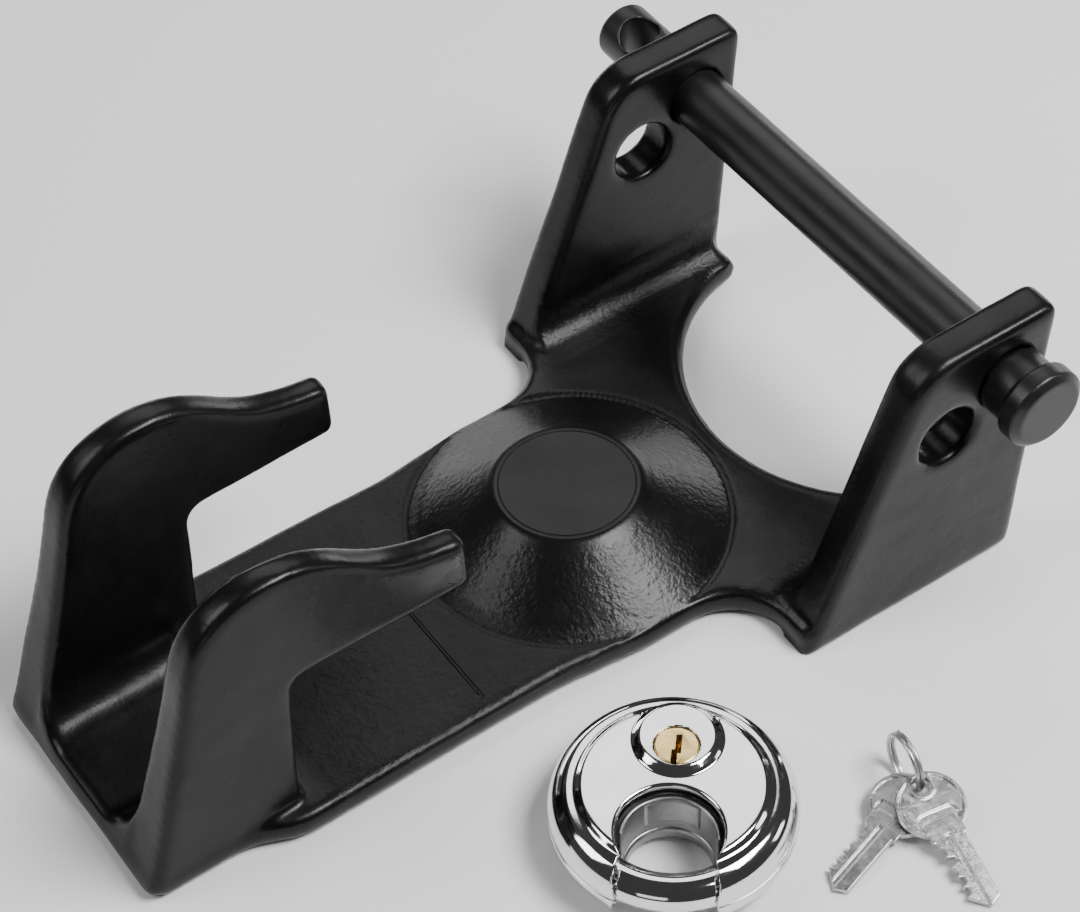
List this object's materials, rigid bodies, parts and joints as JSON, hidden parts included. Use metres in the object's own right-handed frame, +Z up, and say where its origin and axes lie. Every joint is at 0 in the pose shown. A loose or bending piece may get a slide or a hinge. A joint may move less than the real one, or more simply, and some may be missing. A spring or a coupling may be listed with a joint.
{
  "type": "trailer coupler lock",
  "caption": "Hooked steel bracket that caps a trailer coupler, closed by a headed cross pin and secured with a round disc padlock; keys on a split ring.",
  "frame": {"origin": "on the flat underside of the plate, on the centre line, 71 mm behind the dome's axis", "axes": "+X from the hooks to the ears, +Y across towards the pin's far end, +Z up"},
  "size_m": [0.243, 0.2434, 0.0859],
  "materials": {
    "black_coat": "satin black powder coat with a fine orange peel over forged steel",
    "pin_coat": "smooth satin black coat on turned steel",
    "polished_shell": "mirror-polished stainless sheet",
    "polished_steel": "polished bar and strip",
    "plain_steel": "plain zinc-plated or bright steel",
    "nickel_key": "tumbled nickel plate",
    "cast_core": "as-cast zinc alloy",
    "brass": "turned brass"
  },
  "bodies": {
    "bracket": {"coupler_bracket": "black_coat"},
    "pin": {"locking_pin": "pin_coat"},
    "padlock": {"front_shell": "polished_shell", "rear_shell": "polished_shell", "notch_liner": "polished_steel", "chassis": "cast_core", "back_plate": "plain_steel", "chassis_screws": "plain_steel", "cylinder_body": "brass", "chamber_cap": "brass", "driver_pins": "brass", "pin_springs": "plain_steel"},
    "shackle": {"shackle": "polished_steel"},
    "plug": {"cylinder_plug": "brass", "key_pins": "brass", "drive_cam": "plain_steel", "drive_pin": "plain_steel", "cam_clip": "plain_steel"},
    "key_ring": {"key_ring": "plain_steel"},
    "key_front": {"key_front": "nickel_key"},
    "key_rear": {"key_rear": "nickel_key"}
  },
  "joints": [
    {"name": "pin_withdraw", "type": "slide", "parent": "bracket", "child": "pin", "axis": [0, -1, 0], "range_m": [0, 0.16]},
    {"name": "padlock_lift", "type": "slide", "parent": "bracket", "child": "padlock", "axis": [0, 0, 1], "range_m": [0, 0.15]},
    {"name": "shackle_swing", "type": "hinge", "parent": "padlock", "child": "shackle", "pos_m": [0.038, -0.0905, 0.01], "axis": [0, 0, -1], "range_deg": [0, 60]},
    {"name": "plug_turn", "type": "hinge", "parent": "padlock", "child": "plug", "pos_m": [0.04443, -0.08297, 0.01], "axis": [0, 0, -1], "range_deg": [0, 180]},
    {"name": "ring_lift", "type": "slide", "parent": "bracket", "child": "key_ring", "axis": [0, 0, 1], "range_m": [0, 0.1]},
    {"name": "key_front_swing", "type": "hinge", "parent": "key_ring", "child": "key_front", "pos_m": [0.09036, -0.11822, 0.00685], "axis": [0, 0, 1], "range_deg": [-15, 40]},
    {"name": "key_rear_swing", "type": "hinge", "parent": "key_ring", "child": "key_rear", "pos_m": [0.0906, -0.11685, 0.00355], "axis": [0, 0, 1], "range_deg": [-8, 6]}
  ],
  "couplings": [
    {"joint": "plug_turn", "follows": "shackle_swing", "ratio": 3}
  ]
}
